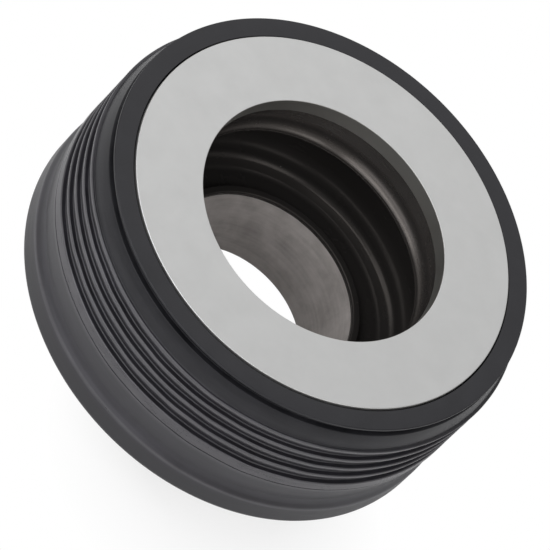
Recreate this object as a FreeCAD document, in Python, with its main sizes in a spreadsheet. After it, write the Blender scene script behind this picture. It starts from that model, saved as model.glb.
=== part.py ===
import FreeCAD, Part
import math
import os
import Sketcher

# An axial face seal that stands on its sleeve. +Z is the shaft axis, and the origin is the centre of
# the sleeve's foot. A lapped ring lies in the head of a double-walled rubber boot. The boot's ribbed
# outer wall and its folded inner wall close a chamber over the base plate, and a coil spring in that
# chamber carries the head on a thrust washer. Radii build up outwards from the shaft, so a seal for
# another shaft keeps its section. All sizes are in millimetres.

SIZES = {
    # The whole seal, and the close fit of pieces that seat on each other
    "overall_height": 44.0,
    "shaft_radius": 18.0,
    "seat_gap": 0.05,
    # Hub sleeve: a short bore land at the foot and a taper up to the mouth
    "sleeve_height": 15.9,
    "land_length": 6.0,
    "mouth_taper": 3.5,
    "mouth_wall": 1.25,
    "sleeve_round": 1.2,
    "sleeve_edge": 0.4,
    # Base plate round the sleeve, some way up from its foot, let into the boot's toe
    "plate_level": 6.6,
    "plate_thickness": 1.5,
    "plate_gap": 0.15,
    "plate_inset": 0.45,
    # Lapped face ring
    "ring_thickness": 4.0,
    "ring_clearance": 4.35,
    "ring_stand_out": 0.8,
    "ring_chamfer": 0.2,
    "ring_back_chamfer": 0.4,
    # Head of the boot: flange round the ring, and the narrow groove under it
    "recess_gap": 0.15,
    "recess_chamfer": 0.35,
    "head_thickness": 4.0,
    "flange_width": 4.35,
    "flange_inset": 1.6,
    "flange_edge": 0.6,
    "flange_round": 0.2,
    "notch_depth": 1.0,
    "notch_width": 1.0,
    "notch_draft": 0.15,
    # Outer wall: plain band, ribs, seam, skirt and lip. Insets are taken from the ribs' outer radius
    "outer_wall": 3.5,
    "band_inset": 0.6,
    "band_round": 0.25,
    "rib_drop": 6.9,
    "rib_pitch": 3.3,
    "rib_count": 5,
    "rib_groove_width": 1.3,
    "rib_groove_depth": 1.2,
    "rib_groove_round": 0.4,
    "rib_top_round": 0.25,
    "rib_foot_round": 0.5,
    "seam_width": 0.3,
    "seam_depth": 0.25,
    "skirt_inset": 0.1,
    "waist_inset": 0.6,
    "waist_rise": 0.9,
    "waist_round": 1.8,
    "lip_inset": 0.05,
    "lip_rise": 5.5,
    "lip_round": 0.5,
    "heel_lift": 0.3,
    "heel_round": 1.5,
    "toe_width": 1.0,
    "toe_height": 2.5,
    # Folded inner wall, from the ring's seat down to the web
    "wall_thickness": 2.2,
    "throat_setback": 1.3,
    "throat_bulge": 1.2,
    "throat_drop": 4.2,
    "throat_round": 1.5,
    "crest_setback": 0.8,
    "crest_drop": 3.6,
    "crest_round": 1.0,
    "crest_wall": 3.1,
    "valley_reach": 6.1,
    "valley_drop": 3.6,
    "valley_round": 1.6,
    "shelf_rise": 2.5,
    "shelf_round": 1.2,
    # Web with its bead, and the collar that grips the sleeve
    "web_drop": 0.8,
    "web_width": 5.0,
    "web_round": 0.4,
    "bead_width": 2.0,
    "bead_rise": 1.6,
    "bead_lip": 0.35,
    "bead_round": 1.0,
    "collar_wall": 2.2,
    "collar_gap": 0.3,
    "collar_foot_round": 0.5,
    "collar_root_round": 1.0,
    "collar_rim_height": 1.0,
    "collar_rim_width": 1.7,
    "collar_rim_round": 0.7,
    # Spring chamber, thrust washer and coil spring
    "chamber_clearance": 1.0,
    "chamber_round": 0.8,
    "washer_clearance": 1.4,
    "washer_width": 6.0,
    "washer_thickness": 1.5,
    "washer_chamfer": 0.3,
    "wire_diameter": 2.5,
    "coil_turns": 5,
}

SHEET_NAME = "sizes"

# Heights and radii closer together than this are the same
SAME = 1e-4


class Length:
    """A value together with the expression that ties it to the sheet."""

    def __init__(self, value, text):
        self.value = value
        self.text = text

    def combine(self, other, sign, result):
        text = other.text if isinstance(other, Length) else str(other)
        return Length(result, f"({self.text} {sign} {text})")

    def __add__(self, other):
        return self.combine(other, "+", self.value + number(other))

    def __sub__(self, other):
        return self.combine(other, "-", self.value - number(other))

    def __mul__(self, other):
        return self.combine(other, "*", self.value * number(other))

    def __truediv__(self, other):
        return self.combine(other, "/", self.value / number(other))


def number(item):
    return item.value if isinstance(item, Length) else item


class Names:
    """The sheet's sizes as attributes, so that a profile reads as plain arithmetic."""

    def __init__(self, sizes):
        for name, value in sizes.items():
            setattr(self, name, Length(value, f"{SHEET_NAME}.{name}"))


def make_sheet(doc):
    sheet = doc.addObject("Spreadsheet::Sheet", SHEET_NAME)
    for row, (name, value) in enumerate(SIZES.items(), start=1):
        sheet.set(f"A{row}", name)
        sheet.set(f"B{row}", str(value))
        sheet.setAlias(f"B{row}", name)
    doc.recompute()
    return sheet


def plane_of(body, role):
    return next(item for item in body.Origin.OriginFeatures if item.Role == role)


def new_body(doc, label):
    body = doc.addObject("PartDesign::Body", label)
    body.Label = label
    body.Placement = FreeCAD.Placement()
    return body


def flat(radius, height):
    """A point of a sketch that stands on the X-Z plane."""
    return FreeCAD.Vector(radius, height, 0)


def corner_arc(before, corner, after, radius):
    """The centre and the two tangent points of the arc that rounds a corner."""
    inward = (before - corner).normalize()
    outward = (after - corner).normalize()
    half_angle = inward.getAngle(outward) / 2
    reach = radius / math.tan(half_angle)
    bisector = (inward + outward).normalize()
    centre = corner + bisector * (radius / math.sin(half_angle))
    return centre, corner + inward * reach, corner + outward * reach


class Profile:
    """A closed outline of straight runs. The sheet's sizes hold each corner, and some are rounded."""

    def __init__(self, body, name, corners):
        self.sketch = body.newObject("Sketcher::SketchObject", name)
        self.sketch.AttachmentSupport = [(plane_of(body, "XZ_Plane"), "")]
        self.sketch.MapMode = "FlatFace"
        self.constraints = []
        self.texts = []
        self.corners = corners
        self.points = [flat(number(corner[0]), number(corner[1])) for corner in corners]
        self.draw()
        self.sketch.addConstraint(self.constraints)
        for index, text in self.texts:
            self.sketch.setExpression(f"Constraints[{index}]", text)

    def add(self, *words, size=None):
        """Keeps a constraint, with the expression that sets its value where it has one."""
        if isinstance(size, Length):
            self.texts.append((len(self.constraints), size.text))
        if size is not None:
            words = words + (number(size),)
        self.constraints.append(Sketcher.Constraint(*words))

    def hold(self, geometry, end, radius, height):
        self.add("DistanceX", -1, 1, geometry, end, size=radius)
        if number(height) == 0:
            self.add("PointOnObject", geometry, end, -1)
        else:
            self.add("DistanceY", -1, 1, geometry, end, size=height)

    def draw(self):
        count = len(self.corners)
        arcs = [self.arc_at(index) for index in range(count)]
        lines = []
        for index in range(count):
            following = (index + 1) % count
            start = arcs[index][2] if arcs[index] else self.points[index]
            finish = arcs[following][1] if arcs[following] else self.points[following]
            lines.append(self.sketch.addGeometry(Part.LineSegment(start, finish)))
        for index in range(count):
            if arcs[index]:
                self.join_round(index, arcs[index], lines[index - 1], lines[index])
            else:
                self.add("Coincident", lines[index - 1], 2, lines[index], 1)
                self.hold(lines[index], 1, *self.corners[index][:2])

    def arc_at(self, index):
        if len(self.corners[index]) < 3:
            return None
        before = self.points[index - 1]
        after = self.points[(index + 1) % len(self.points)]
        return corner_arc(before, self.points[index], after, number(self.corners[index][2]))

    def join_round(self, index, arc, line_in, line_out):
        """Adds a rounding arc, tangent to both runs, and holds the sharp corner that it replaces."""
        centre, entry, leave = arc
        entry_angle = math.atan2(entry.y - centre.y, entry.x - centre.x)
        leave_angle = math.atan2(leave.y - centre.y, leave.x - centre.x)
        forward = (entry - centre).cross(leave - centre).z > 0
        if not forward:
            entry_angle, leave_angle = leave_angle, entry_angle
        circle = Part.Circle(centre, FreeCAD.Vector(0, 0, 1), number(self.corners[index][2]))
        curve = self.sketch.addGeometry(Part.ArcOfCircle(circle, entry_angle, leave_angle))
        corner = self.sketch.addGeometry(Part.Point(self.points[index]), True)
        self.add("Tangent", line_in, 2, curve, 1 if forward else 2)
        self.add("Tangent", line_out, 1, curve, 2 if forward else 1)
        self.add("Radius", curve, size=self.corners[index][2])
        self.add("PointOnObject", corner, 1, line_in)
        self.add("PointOnObject", corner, 1, line_out)
        self.hold(corner, 1, *self.corners[index][:2])


def turned(body, kind, name, corners):
    """A full revolution of a profile about the shaft axis: kind is Revolution to add, Groove to cut."""
    profile = Profile(body, f"{name}_profile", corners)
    feature = body.newObject(f"PartDesign::{kind}", name)
    feature.Profile = (profile.sketch, [""])
    feature.ReferenceAxis = (profile.sketch, ["V_Axis"])
    feature.Angle = 360
    return feature


def sleeve_radius(s):
    """The sleeve's outside, from which every piece further out takes its place."""
    return s.shaft_radius + s.mouth_taper + s.mouth_wall


def ring_bore(s):
    return sleeve_radius(s) + s.ring_clearance


def valley_radius(s):
    """The widest place of the folded inner wall, on the shaft's side."""
    return ring_bore(s) + s.crest_setback + s.valley_reach


def washer_bore(s):
    return valley_radius(s) + s.wall_thickness + s.washer_clearance


def chamber_radius(s):
    return washer_bore(s) + s.washer_width + s.chamber_clearance


def rib_radius(s):
    return chamber_radius(s) + s.outer_wall


def recess_radius(s):
    """The boot's round recess for the face ring."""
    return rib_radius(s) - s.flange_inset - s.flange_width


def toe_radius(s):
    """The step in the boot's toe for the base plate."""
    return chamber_radius(s) - s.plate_inset


def plate_top(s):
    return s.plate_level + s.plate_thickness


def heel_level(s):
    """The underside of the boot's foot."""
    return s.plate_level + s.heel_lift


def lip_level(s):
    return heel_level(s) + s.lip_rise


def ring_seat(s):
    return s.overall_height - s.ring_thickness


def head_foot(s):
    return ring_seat(s) - s.head_thickness


def washer_foot(s):
    return head_foot(s) - s.washer_thickness


def rib_top(s):
    return s.overall_height - s.rib_drop


def web_level(s):
    return s.sleeve_height - s.web_drop


def face_ring(doc, s):
    """The hard ring, lapped flat on top, with a broken edge all round and a wider one behind its bore."""
    body = new_body(doc, "seal_ring")
    top = s.overall_height
    bore = ring_bore(s)
    outer = recess_radius(s) - s.recess_gap
    turned(body, "Revolution", "ring_turning", [
        (bore, top - s.ring_chamfer),
        (bore + s.ring_chamfer, top),
        (outer - s.ring_chamfer, top),
        (outer, top - s.ring_chamfer),
        (outer, ring_seat(s)),
        (bore + s.ring_back_chamfer, ring_seat(s)),
        (bore, ring_seat(s) + s.ring_back_chamfer),
    ])
    return body


def boot_head(s):
    """The boot's outline from the ring's seat, over the flange and its groove, down to the first rib."""
    face = s.overall_height - s.ring_stand_out
    recess = recess_radius(s)
    flange = rib_radius(s) - s.flange_inset
    floor = flange - s.notch_depth
    notch_top = face - s.flange_edge
    notch_foot = notch_top - s.notch_width
    return [
        (recess, ring_seat(s)),
        (recess, face - s.recess_chamfer),
        (recess + s.recess_chamfer, face),
        (flange, face, s.flange_round),
        (flange, notch_top, s.flange_round),
        (floor, notch_top - s.notch_draft, s.notch_draft),
        (floor, notch_foot + s.notch_draft, s.notch_draft),
        (flange, notch_foot, s.band_round),
        (rib_radius(s) - s.band_inset, rib_top(s)),
    ]


def boot_skirt(s):
    """The boot's outline from the first rib's top, past the seam and the lip, to the toe on the plate."""
    rib = rib_radius(s)
    rib_foot = rib_top(s) - s.rib_pitch * s.rib_count + s.rib_groove_width
    seam = rib - s.skirt_inset - s.seam_depth
    toe = toe_radius(s)
    plate = plate_top(s)
    return [
        (rib, rib_top(s)),
        (rib, rib_foot),
        (seam, rib_foot),
        (seam, rib_foot - s.seam_width),
        (rib - s.skirt_inset, rib_foot - s.seam_width),
        (rib - s.waist_inset, lip_level(s) + s.waist_rise, s.waist_round),
        (rib - s.lip_inset, lip_level(s), s.lip_round),
        (rib - s.lip_inset, heel_level(s), s.heel_round),
        (toe, heel_level(s)),
        (toe, plate),
        (toe - s.toe_width, plate),
        (toe - s.toe_width, plate + s.toe_height),
        (chamber_radius(s), plate + s.toe_height + s.toe_width),
    ]


def boot_chamber(s):
    """The boot's outline in the spring chamber, over the head and down to the collar's foot."""
    wall = s.wall_thickness
    throat_level = ring_seat(s) - s.throat_drop
    crest_level = throat_level - s.crest_drop
    crest = ring_bore(s) + s.crest_setback
    valley = valley_radius(s) + wall
    web = web_level(s)
    bead = s.shaft_radius + s.mouth_taper + s.collar_rim_width + s.web_width + s.bead_width
    collar = sleeve_radius(s) + s.seat_gap
    outer = collar + s.collar_wall
    foot = plate_top(s) + s.collar_gap
    return [
        (chamber_radius(s), head_foot(s), s.chamber_round),
        (ring_bore(s) + s.throat_setback + s.throat_bulge + wall, head_foot(s)),
        (crest + s.crest_wall, crest_level, s.crest_round),
        (valley, crest_level - s.valley_drop + wall / 2, s.valley_round),
        (valley, web + s.bead_rise + s.shelf_rise - wall, s.valley_round),
        (bead + wall / 2, web - wall, s.shelf_round),
        (outer, web - wall, s.collar_root_round),
        (outer, foot, s.collar_foot_round),
        (collar, foot),
    ]


def boot_inside(s):
    """The boot's outline on the shaft's side, from the collar's rim up to the ring's seat."""
    mouth = s.shaft_radius + s.mouth_taper
    rim = s.sleeve_height + s.collar_rim_height
    rim_edge = mouth + s.collar_rim_width
    web = web_level(s)
    web_edge = rim_edge + s.web_width
    bead_level = web + s.bead_rise
    throat = ring_bore(s) + s.throat_setback
    throat_level = ring_seat(s) - s.throat_drop
    crest_level = throat_level - s.crest_drop
    return [
        (sleeve_radius(s) + s.seat_gap, s.sleeve_height),
        (mouth, s.sleeve_height),
        (mouth, rim, s.collar_rim_round),
        (rim_edge, rim, s.collar_rim_round),
        (rim_edge, web, s.web_round),
        (web_edge, web, s.web_round),
        (web_edge, bead_level - s.bead_lip, s.bead_lip),
        (web_edge + s.bead_width, bead_level, s.bead_round),
        (valley_radius(s), bead_level + s.shelf_rise, s.shelf_round),
        (valley_radius(s), crest_level - s.valley_drop, s.valley_round),
        (ring_bore(s) + s.crest_setback, crest_level, s.crest_round),
        (throat + s.throat_bulge, throat_level, s.throat_round),
        (throat, ring_seat(s)),
    ]


def boot(doc, s):
    """The rubber moulding: flanged head, ribbed outer wall, skirt, lip, folded inner wall and collar."""
    body = new_body(doc, "rubber_boot")
    outline = boot_head(s) + boot_skirt(s) + boot_chamber(s) + boot_inside(s)
    turned(body, "Revolution", "boot_moulding", outline)
    rib = rib_radius(s)
    groove_foot = rib_top(s) - s.rib_pitch
    groove_top = groove_foot + s.rib_groove_width
    groove = turned(body, "Groove", "rib_groove", [
        (rib - s.rib_groove_depth, groove_foot, s.rib_groove_round),
        (rib + s.rib_groove_depth, groove_foot),
        (rib + s.rib_groove_depth, groove_top),
        (rib - s.rib_groove_depth, groove_top, s.rib_groove_round),
    ])
    grooves = body.newObject("PartDesign::LinearPattern", "rib_grooves")
    grooves.Originals = [groove]
    grooves.Direction = (groove.Profile[0], ["V_Axis"])
    grooves.Reversed = True
    grooves.setExpression("Length", (s.rib_pitch * (s.rib_count - 2)).text)
    grooves.setExpression("Occurrences", (s.rib_count - 1).text)
    body.Tip = grooves
    doc.recompute()
    ribs = SIZES["rib_count"]
    round_ribs(body, "rib_tops", rib_top(s), ribs, s.rib_top_round, s)
    round_ribs(body, "rib_feet", groove_top, ribs - 1, s.rib_foot_round, s)
    return body


def round_ribs(body, name, first, count, radius, s):
    """Rounds one edge on each of a number of ribs, from the height of the first one downwards."""
    base = body.Tip
    heights = [number(first - s.rib_pitch * rib) for rib in range(count)]
    edges = []
    for index, edge in enumerate(base.Shape.Edges, start=1):
        box = edge.BoundBox
        if box.ZLength > SAME or all(abs(box.Center.z - height) > SAME for height in heights):
            continue
        if abs(edge.Curve.Radius - number(rib_radius(s))) < SAME:
            edges.append(f"Edge{index}")
    fillet = body.newObject("PartDesign::Fillet", name)
    fillet.Base = (base, edges)
    fillet.setExpression("Radius", radius.text)
    body.Tip = fillet
    body.Document.recompute()


def sleeve(doc, s):
    """The steel sleeve that takes the shaft: a bore land at the foot and a taper up to the mouth."""
    body = new_body(doc, "hub_sleeve")
    turned(body, "Revolution", "sleeve_turning", [
        (s.shaft_radius, 0, s.sleeve_round),
        (s.shaft_radius, s.land_length),
        (s.shaft_radius + s.mouth_taper, s.sleeve_height),
        (sleeve_radius(s), s.sleeve_height),
        (sleeve_radius(s), 0, s.sleeve_edge),
    ])
    return body


def base_plate(doc, s):
    """The steel plate pressed round the sleeve, which closes the spring chamber."""
    body = new_body(doc, "base_plate")
    rim = toe_radius(s) - s.plate_gap
    turned(body, "Revolution", "plate_disc", [
        (sleeve_radius(s), s.plate_level),
        (rim, s.plate_level),
        (rim, plate_top(s)),
        (sleeve_radius(s), plate_top(s)),
    ])
    return body


def washer(doc, s):
    """The thrust washer that spreads the spring's load over the underside of the head."""
    body = new_body(doc, "thrust_washer")
    inner = washer_bore(s)
    outer = inner + s.washer_width
    turned(body, "Revolution", "washer_turning", [
        (inner, washer_foot(s)),
        (outer - s.washer_chamfer, washer_foot(s)),
        (outer, washer_foot(s) + s.washer_chamfer),
        (outer, head_foot(s) - s.washer_chamfer),
        (outer - s.washer_chamfer, head_foot(s)),
        (inner, head_foot(s)),
    ])
    return body


def spring(doc, s):
    """The coil spring: its first turn starts on the plate and its last one ends at the washer."""
    coil_radius = washer_bore(s) + s.washer_width / 2
    foot = plate_top(s) + s.wire_diameter / 2
    top = washer_foot(s) - s.wire_diameter / 2
    line = doc.addObject("Part::Helix", "coil_line")
    line.SegmentLength = 0  # one unbroken edge
    line.setExpression("Radius", coil_radius.text)
    line.setExpression("Height", (top - foot).text)
    line.setExpression("Pitch", ((top - foot) / s.coil_turns).text)
    line.setExpression("Placement.Base.z", foot.text)
    section = doc.addObject("Part::Circle", "wire_section")
    upright = FreeCAD.Rotation(FreeCAD.Vector(1, 0, 0), 90)
    section.Placement = FreeCAD.Placement(FreeCAD.Vector(0, 0, 0), upright)
    section.setExpression("Radius", (s.wire_diameter / 2).text)
    section.setExpression("Placement.Base.x", coil_radius.text)
    section.setExpression("Placement.Base.z", foot.text)
    doc.recompute()
    coil = doc.addObject("Part::Sweep", "coil_spring")
    coil.Label = "coil_spring"
    coil.Placement = FreeCAD.Placement()
    coil.Sections = [section]
    coil.Spine = (line, ["Edge1"])
    coil.Solid = True
    coil.Frenet = True
    return coil


def check(doc, bodies):
    """Stops where a feature failed or a sub-part is not one valid solid."""
    for item in doc.Objects:
        if "Invalid" in item.State or "Error" in item.State:
            raise ValueError(f"{item.Name} failed: {item.State}")
    for body in bodies:
        if body.Shape.isNull() or not body.Shape.isValid() or len(body.Shape.Solids) != 1:
            raise ValueError(f"{body.Label} is not one valid solid")


def main():
    doc = FreeCAD.newDocument("axial_seal")
    make_sheet(doc)
    s = Names(SIZES)
    bodies = [maker(doc, s) for maker in (sleeve, base_plate, boot, spring, washer, face_ring)]
    doc.recompute()
    check(doc, bodies)
    os.makedirs("parts", exist_ok=True)
    for body in bodies:
        body.Shape.exportStep(f"parts/{body.Label}.step")
        print(f"{body.Label}: {body.Shape.Volume:.0f} mm3")


main()
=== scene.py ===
import math

import bmesh
import bpy
from mathutils import Matrix, Vector, noise


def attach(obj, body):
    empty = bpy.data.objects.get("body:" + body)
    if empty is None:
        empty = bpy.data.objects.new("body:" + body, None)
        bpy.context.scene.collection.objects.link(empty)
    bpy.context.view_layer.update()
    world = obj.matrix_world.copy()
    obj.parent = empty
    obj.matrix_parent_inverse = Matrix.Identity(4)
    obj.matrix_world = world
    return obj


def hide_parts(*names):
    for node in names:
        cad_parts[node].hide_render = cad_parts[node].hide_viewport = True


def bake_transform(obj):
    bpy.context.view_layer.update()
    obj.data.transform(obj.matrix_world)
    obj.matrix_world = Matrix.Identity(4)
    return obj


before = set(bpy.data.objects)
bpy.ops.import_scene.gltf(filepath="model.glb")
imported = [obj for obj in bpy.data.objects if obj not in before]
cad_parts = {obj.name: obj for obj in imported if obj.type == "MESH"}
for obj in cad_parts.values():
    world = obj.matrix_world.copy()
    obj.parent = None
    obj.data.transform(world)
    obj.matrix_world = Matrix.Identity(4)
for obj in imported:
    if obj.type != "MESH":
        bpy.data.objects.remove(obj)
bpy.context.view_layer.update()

MM = 0.001

# Turned pieces: steps round the shaft axis, steps in each rounded corner, and the distance in metres
# under which two points count as the same
ROUND_STEPS = 288
CORNER_STEPS = 6
SAME_POINT = 1e-7

# Levels that the seal's pieces share, in millimetres above the foot of the sleeve
FACE_HEIGHT = 44.0
RING_BACK = 40.0
FLANGE_FACE = 43.6
HEAD_UNDERSIDE = 36.0
WASHER_FOOT = 34.5
RIB_TOP = 37.3
SLEEVE_MOUTH = 15.9
PLATE_FOOT = 6.6
PLATE_TOP = 8.1
BOOT_FOOT = 6.9

# Lapped ring
RING_OUTER = 41.85
RING_BORE = 27.1
RING_EDGE = 0.16
RING_RIM = 0.2
RING_BACK_EDGE = 0.4

# Steel sleeve and the plate round it
SLEEVE_BORE = 18.0
BORE_LAND = 6.0
MOUTH_RADIUS = 21.5
SLEEVE_OUTER = 22.75
PLATE_RADIUS = 44.0

# Boot's head: seat of the ring, flange round it, groove under the flange and plain band
SEAT_RADIUS = 42.15
SEAT_BREAK = 0.1
FLANGE_RADIUS = 46.35
FLANGE_UNDERSIDE = 43.0
GROOVE_RADIUS = 45.4
GROOVE_TOP = 42.9
GROOVE_FOOT = 41.6
BAND_TOP = (46.45, 41.35)
BAND_FOOT_RADIUS = 47.5

# Ribs of the outer wall. Shoulder and foot lie that far inside the rib's radius and below its top
RIB_RADIUS = 48.1
RIB_FLOOR = 46.9
RIB_PITCH = 3.35
RIB_SHOULDER = (0.12, 0.95)
RIB_FOOT = (0.8, 2.35)
RIB_COUNT = 5
RIB_TOP_ROUND = 0.3
RIB_BELLY_ROUND = 2.2
VALLEY_ROUND = 0.3

# Seam under the ribs, skirt, flared lip, and the recess that holds the plate
SEAM_RADIUS = 47.75
SEAM_WIDTH = 0.3
SKIRT_TOP_RADIUS = 48.0
SKIRT_WAIST = (46.95, 14.8)
LIP = (48.09, 12.9)
HEEL_RADIUS = 48.05
RECESS_RADIUS = 44.15
RECESS_LEDGE = 43.15

# Chamber of the spring, and the collar on the sleeve
CHAMBER_WALL = 44.6
FOLD_BACK = 36.2
WEB_FACE = 12.9
COLLAR_OUTER = 25.0
COLLAR_BORE = 22.8
COLLAR_FOOT = 8.4

# Side towards the shaft: rim over the sleeve's mouth, floor of the fold, throat under the ring
RIM_TOP = 16.9
RIM_RADIUS = 23.2
FOLD_FLOOR = 34.0
THROAT_RADIUS = 29.5

# Slight unevenness of the rubber: how far a rib may stray along the axis, in millimetres, and how
# closely its waves follow one another round the seal and from rib to rib
SLOW_STRAY = 0.44
SLOW_WAVES = 1.6
SLOW_RIB_WAVES = 0.35
QUICK_STRAY = 0.14
QUICK_WAVES = 9.0
QUICK_RIB_WAVES = 0.7
# How far it reaches from the middle of the ribs and over what it fades, as shares of half their
# stretch, and how deep under the ribs' floor it takes hold, in millimetres
STRAY_REACH = 1.3
STRAY_FADE = 0.3
STRAY_DEPTH = 0.5

# Coil spring
COIL_RADIUS = 40.6
WIRE_RADIUS = 1.25
COIL_TURNS = 5
WIRE_SIDES = 20
STEPS_PER_TURN = 96


# Shapes


def round_corner(section, vertex, before, after, radius):
    """Rounds one corner of a section with an arc that touches both of its runs."""
    inward = (before - vertex.co).normalized()
    outward = (after - vertex.co).normalized()
    reach = radius / math.tan(inward.angle(outward) / 2)
    bmesh.ops.bevel(
        section,
        geom=[vertex],
        offset=reach,
        offset_type="OFFSET",
        segments=CORNER_STEPS,
        profile=0.5,
        affect="VERTICES",
        material=-1,
    )


def half_section(corners):
    """A closed outline beside the shaft axis, from each corner's radius, height and rounding in mm."""
    section = bmesh.new()
    vertices = [section.verts.new((radius * MM, 0, height * MM)) for radius, height, _ in corners]
    for vertex, following in zip(vertices, vertices[1:] + vertices[:1]):
        section.edges.new((vertex, following))
    points = [vertex.co.copy() for vertex in vertices]
    for index, (_, _, rounding) in enumerate(corners):
        if rounding:
            following = points[(index + 1) % len(points)]
            round_corner(section, vertices[index], points[index - 1], following, rounding * MM)
    return section


def turn(section):
    """Turns a half section a full round about the shaft axis."""
    bmesh.ops.spin(
        section,
        geom=section.verts[:] + section.edges[:],
        cent=(0, 0, 0),
        axis=(0, 0, 1),
        angle=math.tau,
        steps=ROUND_STEPS,
        use_merge=True,
        use_duplicate=False,
    )
    bmesh.ops.remove_doubles(section, verts=section.verts, dist=SAME_POINT)
    bmesh.ops.recalc_face_normals(section, faces=section.faces)


def finished(name, shape, material):
    """Makes the piece's object, with smooth faces whose shading leaves the broad faces flat."""
    mesh = bpy.data.meshes.new(name)
    for face in shape.faces:
        face.smooth = True
    shape.to_mesh(mesh)
    shape.free()
    piece = bpy.data.objects.new(name, mesh)
    bpy.context.scene.collection.objects.link(piece)
    mesh.materials.append(material)
    piece.modifiers.new("broad_faces_flat", "WEIGHTED_NORMAL")
    return piece


def face_ring(material):
    """The lapped ring, its edges just broken."""
    shape = half_section([
        (RING_BORE, FACE_HEIGHT, RING_EDGE),
        (RING_OUTER, FACE_HEIGHT, RING_RIM),
        (RING_OUTER, RING_BACK, RING_EDGE),
        (RING_BORE + RING_BACK_EDGE, RING_BACK, 0),
        (RING_BORE, RING_BACK + RING_BACK_EDGE, 0),
    ])
    turn(shape)
    piece = finished("face_ring", shape, material)
    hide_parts("seal_ring")
    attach(piece, "seal_head")


def rib_corners():
    """The ribs from the first one down, each with a crisp upper edge and a face that rolls in below it."""
    shoulder_inset, shoulder_drop = RIB_SHOULDER
    foot_inset, foot_drop = RIB_FOOT
    corners = []
    for rib in range(RIB_COUNT - 1):
        top = RIB_TOP - RIB_PITCH * rib
        corners.append((RIB_RADIUS, top, RIB_TOP_ROUND))
        corners.append((RIB_RADIUS - shoulder_inset, top - shoulder_drop, RIB_BELLY_ROUND))
        corners.append((RIB_RADIUS - foot_inset, top - foot_drop, VALLEY_ROUND))
        corners.append((RIB_FLOOR, top - foot_drop, 0))
        corners.append((RIB_FLOOR, top - RIB_PITCH, VALLEY_ROUND))
    last_top = RIB_TOP - RIB_PITCH * (RIB_COUNT - 1)
    last_foot = last_top - foot_drop
    corners.append((RIB_RADIUS, last_top, RIB_TOP_ROUND))
    corners.append((RIB_RADIUS, last_foot, 0.15))
    corners.append((SEAM_RADIUS, last_foot, 0))
    corners.append((SEAM_RADIUS, last_foot - SEAM_WIDTH, 0))
    corners.append((SKIRT_TOP_RADIUS, last_foot - SEAM_WIDTH, 0.1))
    return corners


def outer_corners():
    """The boot's outer side: ring seat, flange, groove, band, ribs, seam, skirt, lip, heel and recess."""
    return [
        (SEAT_RADIUS, RING_BACK, 0),
        (SEAT_RADIUS, FLANGE_FACE - SEAT_BREAK, 0),
        (SEAT_RADIUS + SEAT_BREAK, FLANGE_FACE, 0),
        (FLANGE_RADIUS, FLANGE_FACE, 0.2),
        (FLANGE_RADIUS, FLANGE_UNDERSIDE, 0.15),
        (GROOVE_RADIUS, GROOVE_TOP, 0.15),
        (GROOVE_RADIUS, GROOVE_FOOT, 0.15),
        (*BAND_TOP, 0.2),
        (BAND_FOOT_RADIUS, RIB_TOP, 0.1),
        *rib_corners(),
        (*SKIRT_WAIST, 3.0),
        (*LIP, 0.9),
        (HEEL_RADIUS, BOOT_FOOT, 1.5),
        (RECESS_RADIUS, BOOT_FOOT, 0),
        (RECESS_RADIUS, PLATE_TOP, 0),
        (RECESS_LEDGE, PLATE_TOP, 0),
        (RECESS_LEDGE, 10.6, 0),
        (CHAMBER_WALL, 11.6, 0),
    ]


def chamber_corners():
    """The boot's side in the spring chamber, over the head and down to the collar's foot."""
    return [
        (CHAMBER_WALL, HEAD_UNDERSIDE, 1.0),
        (31.8, HEAD_UNDERSIDE, 0),
        (31.0, 32.2, 1.0),
        (FOLD_BACK, 29.7, 2.0),
        (FOLD_BACK, 17.0, 2.0),
        (31.3, WEB_FACE, 1.5),
        (COLLAR_OUTER, WEB_FACE, 1.0),
        (COLLAR_OUTER, COLLAR_FOOT, 0.5),
        (COLLAR_BORE, COLLAR_FOOT, 0),
    ]


def inner_corners():
    """The boot's side towards the shaft, from the collar's rim over bead, fold and crest to the throat."""
    return [
        (COLLAR_BORE, SLEEVE_MOUTH, 0),
        (MOUTH_RADIUS, SLEEVE_MOUTH, 0),
        (MOUTH_RADIUS, RIM_TOP, 0.35),
        (RIM_RADIUS, RIM_TOP, 0.35),
        (RIM_RADIUS, 15.1, 0.4),
        (28.5, 14.6, 1.2),
        (30.3, 17.3, 2.2),
        (FOLD_FLOOR, 17.4, 3.0),
        (FOLD_FLOOR, 28.0, 1.5),
        (27.1, 30.7, 0.95),
        (THROAT_RADIUS, 33.1, 4.2),
        (THROAT_RADIUS, 38.6, 1.0),
        (28.6, RING_BACK, 0),
    ]


def stray(shape):
    """Lets the ribbed stretch of the outer wall wander a little along the axis, as moulded rubber does."""
    half = RIB_PITCH * RIB_COUNT / 2
    middle = RIB_TOP - half
    for vertex in shape.verts:
        radius = math.hypot(vertex.co.x, vertex.co.y) / MM
        level = vertex.co.z / MM
        reach = abs(level - middle) / half
        if radius < RIB_FLOOR - STRAY_DEPTH or reach > STRAY_REACH:
            continue
        weight = min(1.0, (STRAY_REACH - reach) / STRAY_FADE)
        around = Vector((vertex.co.x, vertex.co.y, 0)).normalized()
        rib = Vector((0, 0, level / RIB_PITCH))
        slow = noise.noise(around * SLOW_WAVES + rib * SLOW_RIB_WAVES)
        quick = noise.noise(around * QUICK_WAVES + rib * QUICK_RIB_WAVES)
        vertex.co.z += (slow * SLOW_STRAY + quick * QUICK_STRAY) * weight * MM


def boot_moulding(material):
    """The rubber boot in one piece, as a fixed mesh. On the real seal its head moves with the ring and its
    foot stays on the plate.
    """
    shape = half_section(outer_corners() + chamber_corners() + inner_corners())
    turn(shape)
    stray(shape)
    piece = finished("boot_moulding", shape, material)
    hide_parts("rubber_boot")
    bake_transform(piece)


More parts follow.
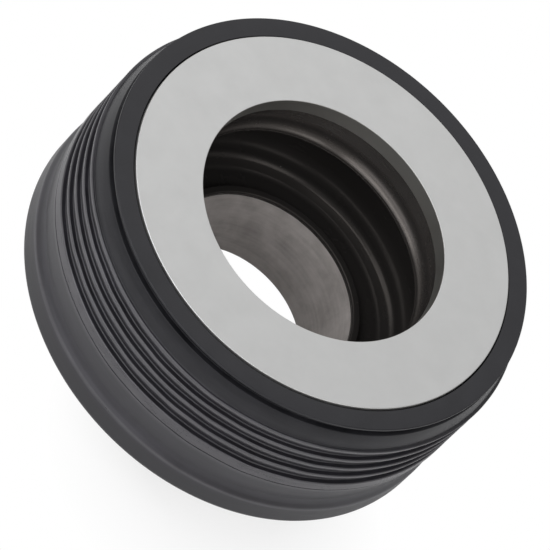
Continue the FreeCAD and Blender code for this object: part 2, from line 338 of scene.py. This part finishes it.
def sleeve_turning(material):
    """The steel sleeve: a short bore land at the foot and a taper up to the mouth."""
    shape = half_section([
        (SLEEVE_BORE, 0, 1.2),
        (SLEEVE_BORE, BORE_LAND, 2.0),
        (MOUTH_RADIUS, SLEEVE_MOUTH, 0.1),
        (SLEEVE_OUTER, SLEEVE_MOUTH, 0.1),
        (SLEEVE_OUTER, 0, 0.4),
    ])
    turn(shape)
    piece = finished("sleeve_turning", shape, material)
    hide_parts("hub_sleeve")
    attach(piece, "hub")


def plate_disc(material):
    """The base plate round the sleeve."""
    shape = half_section([
        (SLEEVE_OUTER, PLATE_FOOT, 0.1),
        (SLEEVE_OUTER, PLATE_TOP, 0.1),
        (PLATE_RADIUS, PLATE_TOP, 0.15),
        (PLATE_RADIUS, PLATE_FOOT, 0.15),
    ])
    turn(shape)
    piece = finished("plate_disc", shape, material)
    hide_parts("base_plate")
    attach(piece, "hub")


def spring_coil(material):
    """The coil spring from the plate to the washer, as a fixed coil. On the real seal it is squeezed as
    the head moves.
    """
    foot = PLATE_TOP + WIRE_RADIUS
    rise = (WASHER_FOOT - WIRE_RADIUS - foot) * MM
    steps = COIL_TURNS * STEPS_PER_TURN
    place = Matrix.Translation((COIL_RADIUS * MM, 0, foot * MM)) @ Matrix.Rotation(math.pi / 2, 4, "X")
    shape = bmesh.new()
    bmesh.ops.create_circle(
        shape,
        cap_ends=False,
        segments=WIRE_SIDES,
        radius=WIRE_RADIUS * MM,
        matrix=place,
    )
    bmesh.ops.spin(
        shape,
        geom=shape.verts[:] + shape.edges[:],
        cent=(0, 0, 0),
        axis=(0, 0, 1),
        dvec=(0, 0, rise / steps),
        angle=math.tau * COIL_TURNS,
        steps=steps,
        use_merge=False,
        use_duplicate=False,
    )
    bmesh.ops.holes_fill(shape, edges=[edge for edge in shape.edges if edge.is_boundary], sides=0)
    bmesh.ops.recalc_face_normals(shape, faces=shape.faces)
    piece = finished("spring_coil", shape, material)
    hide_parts("coil_spring")
    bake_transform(piece)


# Materials


def linear(red, green, blue):
    """A screen colour from 0 to 255 as the shader's own values, by the usual screen curve."""
    values = []
    for channel in (red, green, blue):
        share = channel / 255
        values.append(((share + 0.055) / 1.055) ** 2.4 if channel > 10 else share / 12.92)
    return (*values, 1.0)


# Zones of the finishes in millimetres of radius or level, each from where it starts to where it is whole
RING_BORE_RADII = (27.20, 27.13)
OUTSIDE_RADII = (36.0, 42.0)
HEAD_LEVELS = (37.1, 37.6)
GROOVE_LEVELS = (38.5, 41.2)
FLANGE_LEVELS = (42.5, 42.9)
EDGE_RADII = (47.8, 48.05)
EDGE_LEVELS = (12.3, 12.9)
UNDER_LIP_LEVELS = (12.4, 11.4)
CREST_LEVELS = (24.0, 26.0)
CREST_RADII = (31.2, 30.0)
BEAD_LEVELS = (15.0, 16.0)
BEAD_TOP_LEVELS = (18.0, 17.6)
BEAD_RADII = (31.2, 30.5)

# Shades of each finish, the darker one first where there are two
LAPPED_SHADES = (linear(212, 212, 211), linear(216, 216, 215))
# Painted shade: the ring's bore wall is the same metal as its face, painted darker for the shade in the
# bore
RING_BORE_PAINTED_SHADE = linear(168, 167, 163)
WALL_SHADES = (linear(28, 27, 31), linear(40, 39, 44))
# Painted shade: the head of the one-piece moulding is painted darker for the shade under the flange and
# how light falls on it
HEAD_PAINTED_SHADES = (linear(17, 17, 20), linear(30, 30, 33))
# Painted highlight: a paler colour on the lip edge that stands in for the light it catches
LIP_PAINTED_HIGHLIGHT = linear(70, 68, 71)
# Painted shade: the wall under the flared lip is painted darker for the shade beneath it
UNDER_LIP_PAINTED_SHADE = linear(27, 26, 29)
# Painted light: the shaft's side of the same rubber is painted paler and warmer, standing in for light and
# warm reflection deep inside
INNER_PAINTED_LIGHT = linear(43, 41, 40)
DUST_SHADE = linear(120, 120, 116)
PHOSPHATE_SHADES = (linear(162, 156, 153), linear(200, 194, 191))
WIRE_SHADES = (linear(150, 150, 152), linear(178, 178, 179))
WASHER_SHADES = (linear(168, 168, 167), linear(186, 186, 184))

# A noise pattern's values lie mostly in the first range. A narrower one gives a shade more contrast
NOISE_RANGE = (0.3, 0.7)
RUBBER_CONTRAST = (0.38, 0.62)
PHOSPHATE_CONTRAST = (0.32, 0.68)

# Roughness of each finish at the two ends of its pattern, and what the rubber's is multiplied by on
# the shaft's side and outside, and on the plain wall and its lip edge
LAPPED_ROUGHNESS = (0.46, 0.51)
RUBBER_ROUGHNESS = (0.34, 0.46)
SIDE_ROUGHNESS = (0.65, 0.9)
EDGE_ROUGHNESS = (1.0, 0.8)
PHOSPHATE_ROUGHNESS = (0.52, 0.66)
WIRE_ROUGHNESS = (0.28, 0.42)
WASHER_ROUGHNESS = (0.36, 0.46)

# How much of the painted highlight shows on the lip edge, from the darkest streak to the palest
LIP_HIGHLIGHT_SHARES = (0.3, 0.8)

# Shine of the rubber: how strong it is on each zone, the share of the head's that is left towards the
# groove, and its tint inside and outside
INNER_GLOSS = 0.07
CREST_GLOSS = 0.9
BEAD_GLOSS = 0.17
WALL_GLOSS = 0.7
EDGE_GLOSS = 1.0
HEAD_GLOSS = 0.46
GROOVE_GLOSS_SHARE = 0.6
WARM_SHINE = (1.0, 0.91, 0.85, 1.0)
COOL_SHINE = (0.97, 0.96, 1.0, 1.0)

# Dust on the rubber: distance between specks in millimetres, and a speck's radius as a share of it
DUST_SPACING = 7.0
SPECK_SHARE = 0.014

# Sockets of a mix node that have no name of their own: numbers first, then colours
NUMBER_FROM = 2
NUMBER_TO = 3
NUMBER_MIXED = 0
COLOUR_FROM = 6
COLOUR_TO = 7
COLOUR_MIXED = 2


class Finish:
    """A material under construction: its node tree, its shader and the object's own coordinates."""

    def __init__(self, name):
        self.material = bpy.data.materials.new(name)
        self.material.use_nodes = True
        self.nodes = self.material.node_tree.nodes
        self.links = self.material.node_tree.links
        self.shader = self.nodes["Principled BSDF"]
        self.place = self.nodes.new("ShaderNodeTexCoord").outputs["Object"]

    def stretched(self, x, y, z):
        """The object's coordinates, multiplied on each axis. A small number draws a pattern out."""
        mapping = self.nodes.new("ShaderNodeMapping")
        mapping.inputs["Scale"].default_value = (x, y, z)
        self.links.new(self.place, mapping.inputs["Vector"])
        return mapping.outputs["Vector"]

    def clouds(self, size_mm, detail=3.0, roughness=0.55, place=None):
        """Soft noise with features of about the given size."""
        texture = self.nodes.new("ShaderNodeTexNoise")
        texture.inputs["Scale"].default_value = 1 / (size_mm * MM)
        texture.inputs["Detail"].default_value = detail
        texture.inputs["Roughness"].default_value = roughness
        self.links.new(place or self.place, texture.inputs["Vector"])
        return texture.outputs["Fac"]

    def maths(self, operation, first, second=None):
        """An arithmetic step on one or two values, each given as a number or a socket."""
        node = self.nodes.new("ShaderNodeMath")
        node.operation = operation
        for socket, value in zip(node.inputs, (first, second)):
            if value is None:
                continue
            if isinstance(value, (int, float)):
                socket.default_value = value
            else:
                self.links.new(value, socket)
        return node.outputs["Value"]

    def times(self, first, second):
        """The product of two values."""
        return self.maths("MULTIPLY", first, second)

    def span(self, value, low, high, to_low=0.0, to_high=1.0):
        """Maps a value's range to another one, clamped."""
        node = self.nodes.new("ShaderNodeMapRange")
        node.inputs["From Min"].default_value = low
        node.inputs["From Max"].default_value = high
        node.inputs["To Min"].default_value = to_low
        node.inputs["To Max"].default_value = to_high
        self.links.new(value, node.inputs["Value"])
        return node.outputs["Result"]

    def spread_noise(self, pattern, low=0.0, high=1.0):
        """Spreads a noise pattern's usual values over a range."""
        return self.span(pattern, *NOISE_RANGE, low, high)

    def zone(self, value, bounds):
        """How far a radius or a level lies in a zone, from 0 at its start to 1 where it is whole."""
        start, whole = bounds
        if start < whole:
            return self.span(value, start * MM, whole * MM)
        return self.span(value, whole * MM, start * MM, 1.0, 0.0)

    def between(self, share, none, whole):
        """The number that a share picks between two others."""
        return self.span(share, 0.0, 1.0, none, whole)

    def blend(self, share, first, second):
        """A number between two sockets."""
        node = self.nodes.new("ShaderNodeMix")
        self.links.new(share, node.inputs["Factor"])
        self.links.new(first, node.inputs[NUMBER_FROM])
        self.links.new(second, node.inputs[NUMBER_TO])
        return node.outputs[NUMBER_MIXED]

    def mix(self, share, first, second):
        """A colour between two, each given as a colour or a socket."""
        node = self.nodes.new("ShaderNodeMix")
        node.data_type = "RGBA"
        self.links.new(share, node.inputs["Factor"])
        for socket, value in ((node.inputs[COLOUR_FROM], first), (node.inputs[COLOUR_TO], second)):
            if isinstance(value, tuple):
                socket.default_value = value
            else:
                self.links.new(value, socket)
        return node.outputs[COLOUR_MIXED]

    def relief(self, height, depth_mm, strength, over=None):
        """Bump from a height pattern whose full range is the given depth."""
        node = self.nodes.new("ShaderNodeBump")
        node.inputs["Distance"].default_value = depth_mm * MM
        node.inputs["Strength"].default_value = strength
        self.links.new(height, node.inputs["Height"])
        if over is not None:
            self.links.new(over, node.inputs["Normal"])
        return node.outputs["Normal"]

    def radius_and_level(self):
        """The distance from the shaft axis and the height, both in metres."""
        place = self.nodes.new("ShaderNodeSeparateXYZ")
        self.links.new(self.place, place.inputs["Vector"])
        across = self.times(place.outputs["X"], place.outputs["X"])
        along = self.times(place.outputs["Y"], place.outputs["Y"])
        return self.maths("SQRT", self.maths("ADD", across, along)), place.outputs["Z"]

    def put(self, socket, value):
        """Sets one of the shader's sockets to a value, or links it."""
        if isinstance(value, (int, float, tuple)):
            self.shader.inputs[socket].default_value = value
        else:
            self.links.new(value, self.shader.inputs[socket])


def lapped_metal():
    """Pale hard metal, lapped to an even matt grey with a faint mottle. Its bore is painted darker, as
    painted shade.
    """
    finish = Finish("lapped_metal")
    radius, _ = finish.radius_and_level()
    mottle = finish.spread_noise(finish.clouds(7.0, detail=4.0))
    face = finish.mix(mottle, *LAPPED_SHADES)
    # The bore wall gets the darker colour, which is painted shade
    finish.put("Base Color", finish.mix(finish.zone(radius, RING_BORE_RADII), face, RING_BORE_PAINTED_SHADE))
    finish.put("Metallic", 1.0)
    finish.put("Roughness", finish.spread_noise(finish.clouds(2.5), *LAPPED_ROUGHNESS))
    grain = finish.clouds(0.25, detail=2.0)
    finish.put("Normal", finish.relief(grain, 0.01, 0.35))
    return finish.material


def rubber_zones(finish):
    """How far each point of the boot lies in each of its zones, from 0 to 1."""
    radius, level = finish.radius_and_level()
    outside = finish.zone(radius, OUTSIDE_RADII)
    bead = finish.times(finish.zone(level, BEAD_LEVELS), finish.zone(radius, BEAD_RADII))
    return {
        "outside": outside,
        "head": finish.times(outside, finish.zone(level, HEAD_LEVELS)),
        "groove": finish.zone(level, GROOVE_LEVELS),
        "flange": finish.zone(level, FLANGE_LEVELS),
        "edges": finish.times(finish.zone(radius, EDGE_RADII), finish.zone(level, EDGE_LEVELS)),
        "under_lip": finish.zone(level, UNDER_LIP_LEVELS),
        "crest": finish.times(finish.zone(level, CREST_LEVELS), finish.zone(radius, CREST_RADII)),
        "bead": finish.times(bead, finish.zone(level, BEAD_TOP_LEVELS)),
    }


def rubber_colour(finish, zones, spread):
    """Streaked black, paler on the lip edge as painted highlight, darker on the head and under the lip as
    painted shade, paler on the shaft's side as painted light, with specks.
    """
    # The lip edge is painted paler, a painted highlight that follows the streaks
    lip_highlight = finish.times(zones["edges"], finish.between(spread, *LIP_HIGHLIGHT_SHARES))
    wall = finish.mix(spread, *WALL_SHADES)
    wall = finish.mix(lip_highlight, wall, LIP_PAINTED_HIGHLIGHT)
    # Under the lip the wall is painted darker, which is painted shade
    wall = finish.mix(zones["under_lip"], wall, UNDER_LIP_PAINTED_SHADE)
    # The head gets darker colours, which are painted shade
    outer = finish.mix(zones["head"], wall, finish.mix(spread, *HEAD_PAINTED_SHADES))
    # The shaft's side gets the paler, warmer colour, which is painted light
    undusted = finish.mix(zones["outside"], INNER_PAINTED_LIGHT, outer)
    specks = finish.nodes.new("ShaderNodeTexVoronoi")
    specks.inputs["Scale"].default_value = 1 / (DUST_SPACING * MM)
    finish.links.new(finish.place, specks.inputs["Vector"])
    dust = finish.maths("LESS_THAN", specks.outputs["Distance"], SPECK_SHARE)
    return finish.mix(dust, undusted, DUST_SHADE)


def rubber_gloss(finish, zones):
    """Dull inside but for the crest and the bead, satin on the wall, duller on the head."""
    crest = finish.between(zones["crest"], INNER_GLOSS, CREST_GLOSS)
    inside = finish.maths("ADD", crest, finish.times(zones["bead"], BEAD_GLOSS))
    wall = finish.between(zones["edges"], WALL_GLOSS, EDGE_GLOSS)
    groove = finish.between(zones["groove"], 1.0, GROOVE_GLOSS_SHARE)
    head = finish.times(finish.maths("MAXIMUM", groove, zones["flange"]), HEAD_GLOSS)
    return finish.blend(zones["outside"], inside, finish.blend(zones["head"], wall, head))


def moulded_rubber():
    """Black nitrile rubber: satin with streaks round the seal outside; smoother on the shaft's side, where
    its colour is painted paler and warmer as painted light.
    """
    finish = Finish("moulded_rubber")
    zones = rubber_zones(finish)
    streaks = finish.clouds(0.9, detail=4.0, place=finish.stretched(0.1, 0.1, 1.0))
    cloud = finish.clouds(6.0, detail=8.0, roughness=0.7)
    pattern = finish.maths("ADD", finish.times(cloud, 0.5), finish.times(streaks, 0.5))
    finish.put("Base Color", rubber_colour(finish, zones, finish.span(pattern, *RUBBER_CONTRAST)))
    side = finish.between(zones["outside"], *SIDE_ROUGHNESS)
    wear = finish.between(zones["edges"], *EDGE_ROUGHNESS)
    rough = finish.spread_noise(pattern, *RUBBER_ROUGHNESS)
    finish.put("Roughness", finish.times(rough, finish.times(side, wear)))
    finish.put("Specular IOR Level", rubber_gloss(finish, zones))
    finish.put("Specular Tint", finish.mix(zones["outside"], WARM_SHINE, COOL_SHINE))
    skin = finish.relief(finish.clouds(0.35, detail=2.0), 0.012, 0.5)
    finish.put("Normal", finish.relief(streaks, 0.03, 0.4, over=skin))
    return finish.material


def phosphated_steel():
    """Dull grey-brown steel, blotched by its coating and faintly ringed by the turning tool."""
    finish = Finish("phosphated_steel")
    rings = finish.clouds(0.7, detail=3.0, place=finish.stretched(0.06, 0.06, 1.0))
    clouds = finish.clouds(5.0, detail=6.0, roughness=0.6)
    blotch = finish.maths("ADD", finish.times(clouds, 0.7), finish.times(rings, 0.3))
    finish.put("Base Color", finish.mix(finish.span(blotch, *PHOSPHATE_CONTRAST), *PHOSPHATE_SHADES))
    finish.put("Metallic", 0.35)
    finish.put("Roughness", finish.spread_noise(finish.clouds(2.0), *PHOSPHATE_ROUGHNESS))
    grooves = finish.relief(rings, 0.02, 0.5)
    finish.put("Normal", finish.relief(finish.clouds(0.4), 0.015, 0.5, over=grooves))
    return finish.material


def drawn_steel():
    """Bright spring wire with faint lengthwise drawing marks."""
    finish = Finish("drawn_steel")
    marks = finish.clouds(0.4, detail=4.0, place=finish.stretched(0.2, 0.2, 2.0))
    finish.put("Base Color", finish.mix(finish.spread_noise(marks), *WIRE_SHADES))
    finish.put("Metallic", 1.0)
    finish.put("Roughness", finish.spread_noise(marks, *WIRE_ROUGHNESS))
    finish.put("Normal", finish.relief(marks, 0.01, 0.4))
    return finish.material


def satin_steel():
    """Tumbled washer steel, even and satin."""
    finish = Finish("satin_steel")
    cloud = finish.clouds(3.0, detail=5.0)
    finish.put("Base Color", finish.mix(finish.spread_noise(cloud), *WASHER_SHADES))
    finish.put("Metallic", 1.0)
    finish.put("Roughness", finish.spread_noise(cloud, *WASHER_ROUGHNESS))
    finish.put("Normal", finish.relief(finish.clouds(0.3), 0.01, 0.4))
    return finish.material


# Studio

CAMERA_PLACE = (0.00070, -0.8653, 0.9602)
CAMERA_ELEVATION = 47.3
CAMERA_ROLL = 45.0
CAMERA_LENS = 419.7
SENSOR_WIDTH = 36.0

FLOOR_SIZE = 6.0
FLOOR_WHITE = (0.86, 0.86, 0.86, 1.0)
# Share of the floor that the camera sees as plain white: least in the shadow, whole farther out and
# in the bore. Distances are in metres from the shadow's centre, and the last one from the shaft axis
SHADOW_CENTRE = (0.020, -0.028, 0.0)
FLOOR_NEAR = 0.76
NEAR_EDGE = 0.016
FAR_EDGE = 0.038
BORE_EDGE = 0.0205

SKY_WARM = (0.80, 0.77, 0.74, 1.0)
SKY_COOL = (0.79, 0.81, 0.83, 1.0)
SKY_STRENGTH = 0.62
SEEN_WHITE = (1.0, 1.0, 1.0, 1.0)

WHITE_LIGHT = (1.0, 1.0, 1.0)
COOL_LIGHT = (0.94, 0.95, 1.0)
LAMP_AIM = Vector((0, 0, 0.02))
# Each lamp's name, place, width and height in metres, power in watts and colour
LAMPS = (
    ("key_softbox", (-0.75, -0.15, 0.95), (0.7, 0.7), 3.0, WHITE_LIGHT),
    ("back_softbox", (-0.3, 0.9, 0.8), (0.8, 0.8), 1.4, WHITE_LIGHT),
    ("front_softbox", (-0.4, -1.0, 0.95), (2.0, 0.35), 6.3, WHITE_LIGHT),
    ("low_softbox", (-0.55, -1.1, 0.4), (1.9, 0.4), 3.4, COOL_LIGHT),
    ("side_softbox", (0.75, -0.45, 0.9), (0.6, 0.6), 2.3, WHITE_LIGHT),
)


def camera():
    """The camera, far off with a long lens, tilted down and rolled as in the photograph."""
    data = bpy.data.cameras.new("studio_camera")
    data.lens = CAMERA_LENS
    data.sensor_width = SENSOR_WIDTH
    made = bpy.data.objects.new("studio_camera", data)
    tilt = Matrix.Rotation(math.radians(90 - CAMERA_ELEVATION), 4, "X")
    roll = Matrix.Rotation(math.radians(CAMERA_ROLL), 4, "Z")
    made.matrix_world = Matrix.Translation(CAMERA_PLACE) @ tilt @ roll
    bpy.context.scene.collection.objects.link(made)
    bpy.context.scene.camera = made


def softbox(name, place, size, power, colour):
    """A rectangular area lamp that faces the seal."""
    data = bpy.data.lights.new(name, "AREA")
    data.shape = "RECTANGLE"
    data.size, data.size_y = size
    data.energy = power
    data.color = colour
    lamp = bpy.data.objects.new(name, data)
    lamp.location = place
    aim = LAMP_AIM - Vector(place)
    lamp.rotation_euler = aim.to_track_quat("-Z", "Y").to_euler()
    bpy.context.scene.collection.objects.link(lamp)


def sky():
    """A plain studio surround, warm at eye level and cooler above, which the camera sees as white."""
    world = bpy.data.worlds.new("studio_surround")
    world.use_nodes = True
    bpy.context.scene.world = world
    nodes = world.node_tree.nodes
    links = world.node_tree.links
    nodes.clear()
    out = nodes.new("ShaderNodeOutputWorld")
    seen = nodes.new("ShaderNodeBackground")
    seen.inputs["Color"].default_value = SEEN_WHITE
    light = nodes.new("ShaderNodeBackground")
    light.inputs["Strength"].default_value = SKY_STRENGTH
    direction = nodes.new("ShaderNodeTexCoord")
    level = nodes.new("ShaderNodeSeparateXYZ")
    links.new(direction.outputs["Generated"], level.inputs["Vector"])
    tint = nodes.new("ShaderNodeMix")
    tint.data_type = "RGBA"
    tint.inputs[COLOUR_FROM].default_value = SKY_WARM
    tint.inputs[COLOUR_TO].default_value = SKY_COOL
    links.new(level.outputs["Z"], tint.inputs["Factor"])
    links.new(tint.outputs[COLOUR_MIXED], light.inputs["Color"])
    path = nodes.new("ShaderNodeLightPath")
    both = nodes.new("ShaderNodeMixShader")
    links.new(path.outputs["Is Camera Ray"], both.inputs["Fac"])
    links.new(light.outputs["Background"], both.inputs[1])
    links.new(seen.outputs["Background"], both.inputs[2])
    links.new(both.outputs["Shader"], out.inputs["Surface"])


def white_share(finish):
    """How much of the floor the camera sees as plain white at each point."""
    from_axis = finish.nodes.new("ShaderNodeVectorMath")
    from_axis.operation = "LENGTH"
    finish.links.new(finish.place, from_axis.inputs[0])
    in_bore = finish.maths("LESS_THAN", from_axis.outputs["Value"], BORE_EDGE)
    from_shadow = finish.nodes.new("ShaderNodeVectorMath")
    from_shadow.operation = "DISTANCE"
    from_shadow.inputs[1].default_value = SHADOW_CENTRE
    finish.links.new(finish.place, from_shadow.inputs[0])
    clear_of_shadow = finish.span(from_shadow.outputs["Value"], NEAR_EDGE, FAR_EDGE, FLOOR_NEAR, 1.0)
    path = finish.nodes.new("ShaderNodeLightPath")
    return finish.times(finish.maths("MAXIMUM", in_bore, clear_of_shadow), path.outputs["Is Camera Ray"])


def floor_white():
    """A matt white that is partly seen as plain white."""
    finish = Finish("floor_white")
    finish.put("Base Color", FLOOR_WHITE)
    finish.put("Roughness", 0.9)
    finish.put("Specular IOR Level", 0.1)
    plain = finish.nodes.new("ShaderNodeEmission")
    both = finish.nodes.new("ShaderNodeMixShader")
    finish.links.new(white_share(finish), both.inputs["Fac"])
    finish.links.new(finish.shader.outputs["BSDF"], both.inputs[1])
    finish.links.new(plain.outputs["Emission"], both.inputs[2])
    finish.links.new(both.outputs["Shader"], finish.nodes["Material Output"].inputs["Surface"])
    return finish.material


def floor():
    """A white floor that keeps the seal's soft shadow and stays white where it shows through the bore."""
    shape = bmesh.new()
    bmesh.ops.create_grid(shape, x_segments=1, y_segments=1, size=FLOOR_SIZE / 2)
    mesh = bpy.data.meshes.new("studio_floor")
    shape.to_mesh(mesh)
    shape.free()
    made = bpy.data.objects.new("studio_floor", mesh)
    bpy.context.scene.collection.objects.link(made)
    mesh.materials.append(floor_white())


def studio():
    """Camera, surround, floor and lamps."""
    bpy.context.scene.view_settings.view_transform = "Standard"
    camera()
    sky()
    floor()
    for lamp in LAMPS:
        softbox(*lamp)


def repaint(node, material):
    """Gives a CAD node that is shown as it is its detailed material."""
    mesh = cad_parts[node].data
    mesh.materials.clear()
    mesh.materials.append(material)


studio()
face_ring(lapped_metal())
boot_moulding(moulded_rubber())
hub_finish = phosphated_steel()
sleeve_turning(hub_finish)
plate_disc(hub_finish)
spring_coil(drawn_steel())
repaint("thrust_washer", satin_steel())
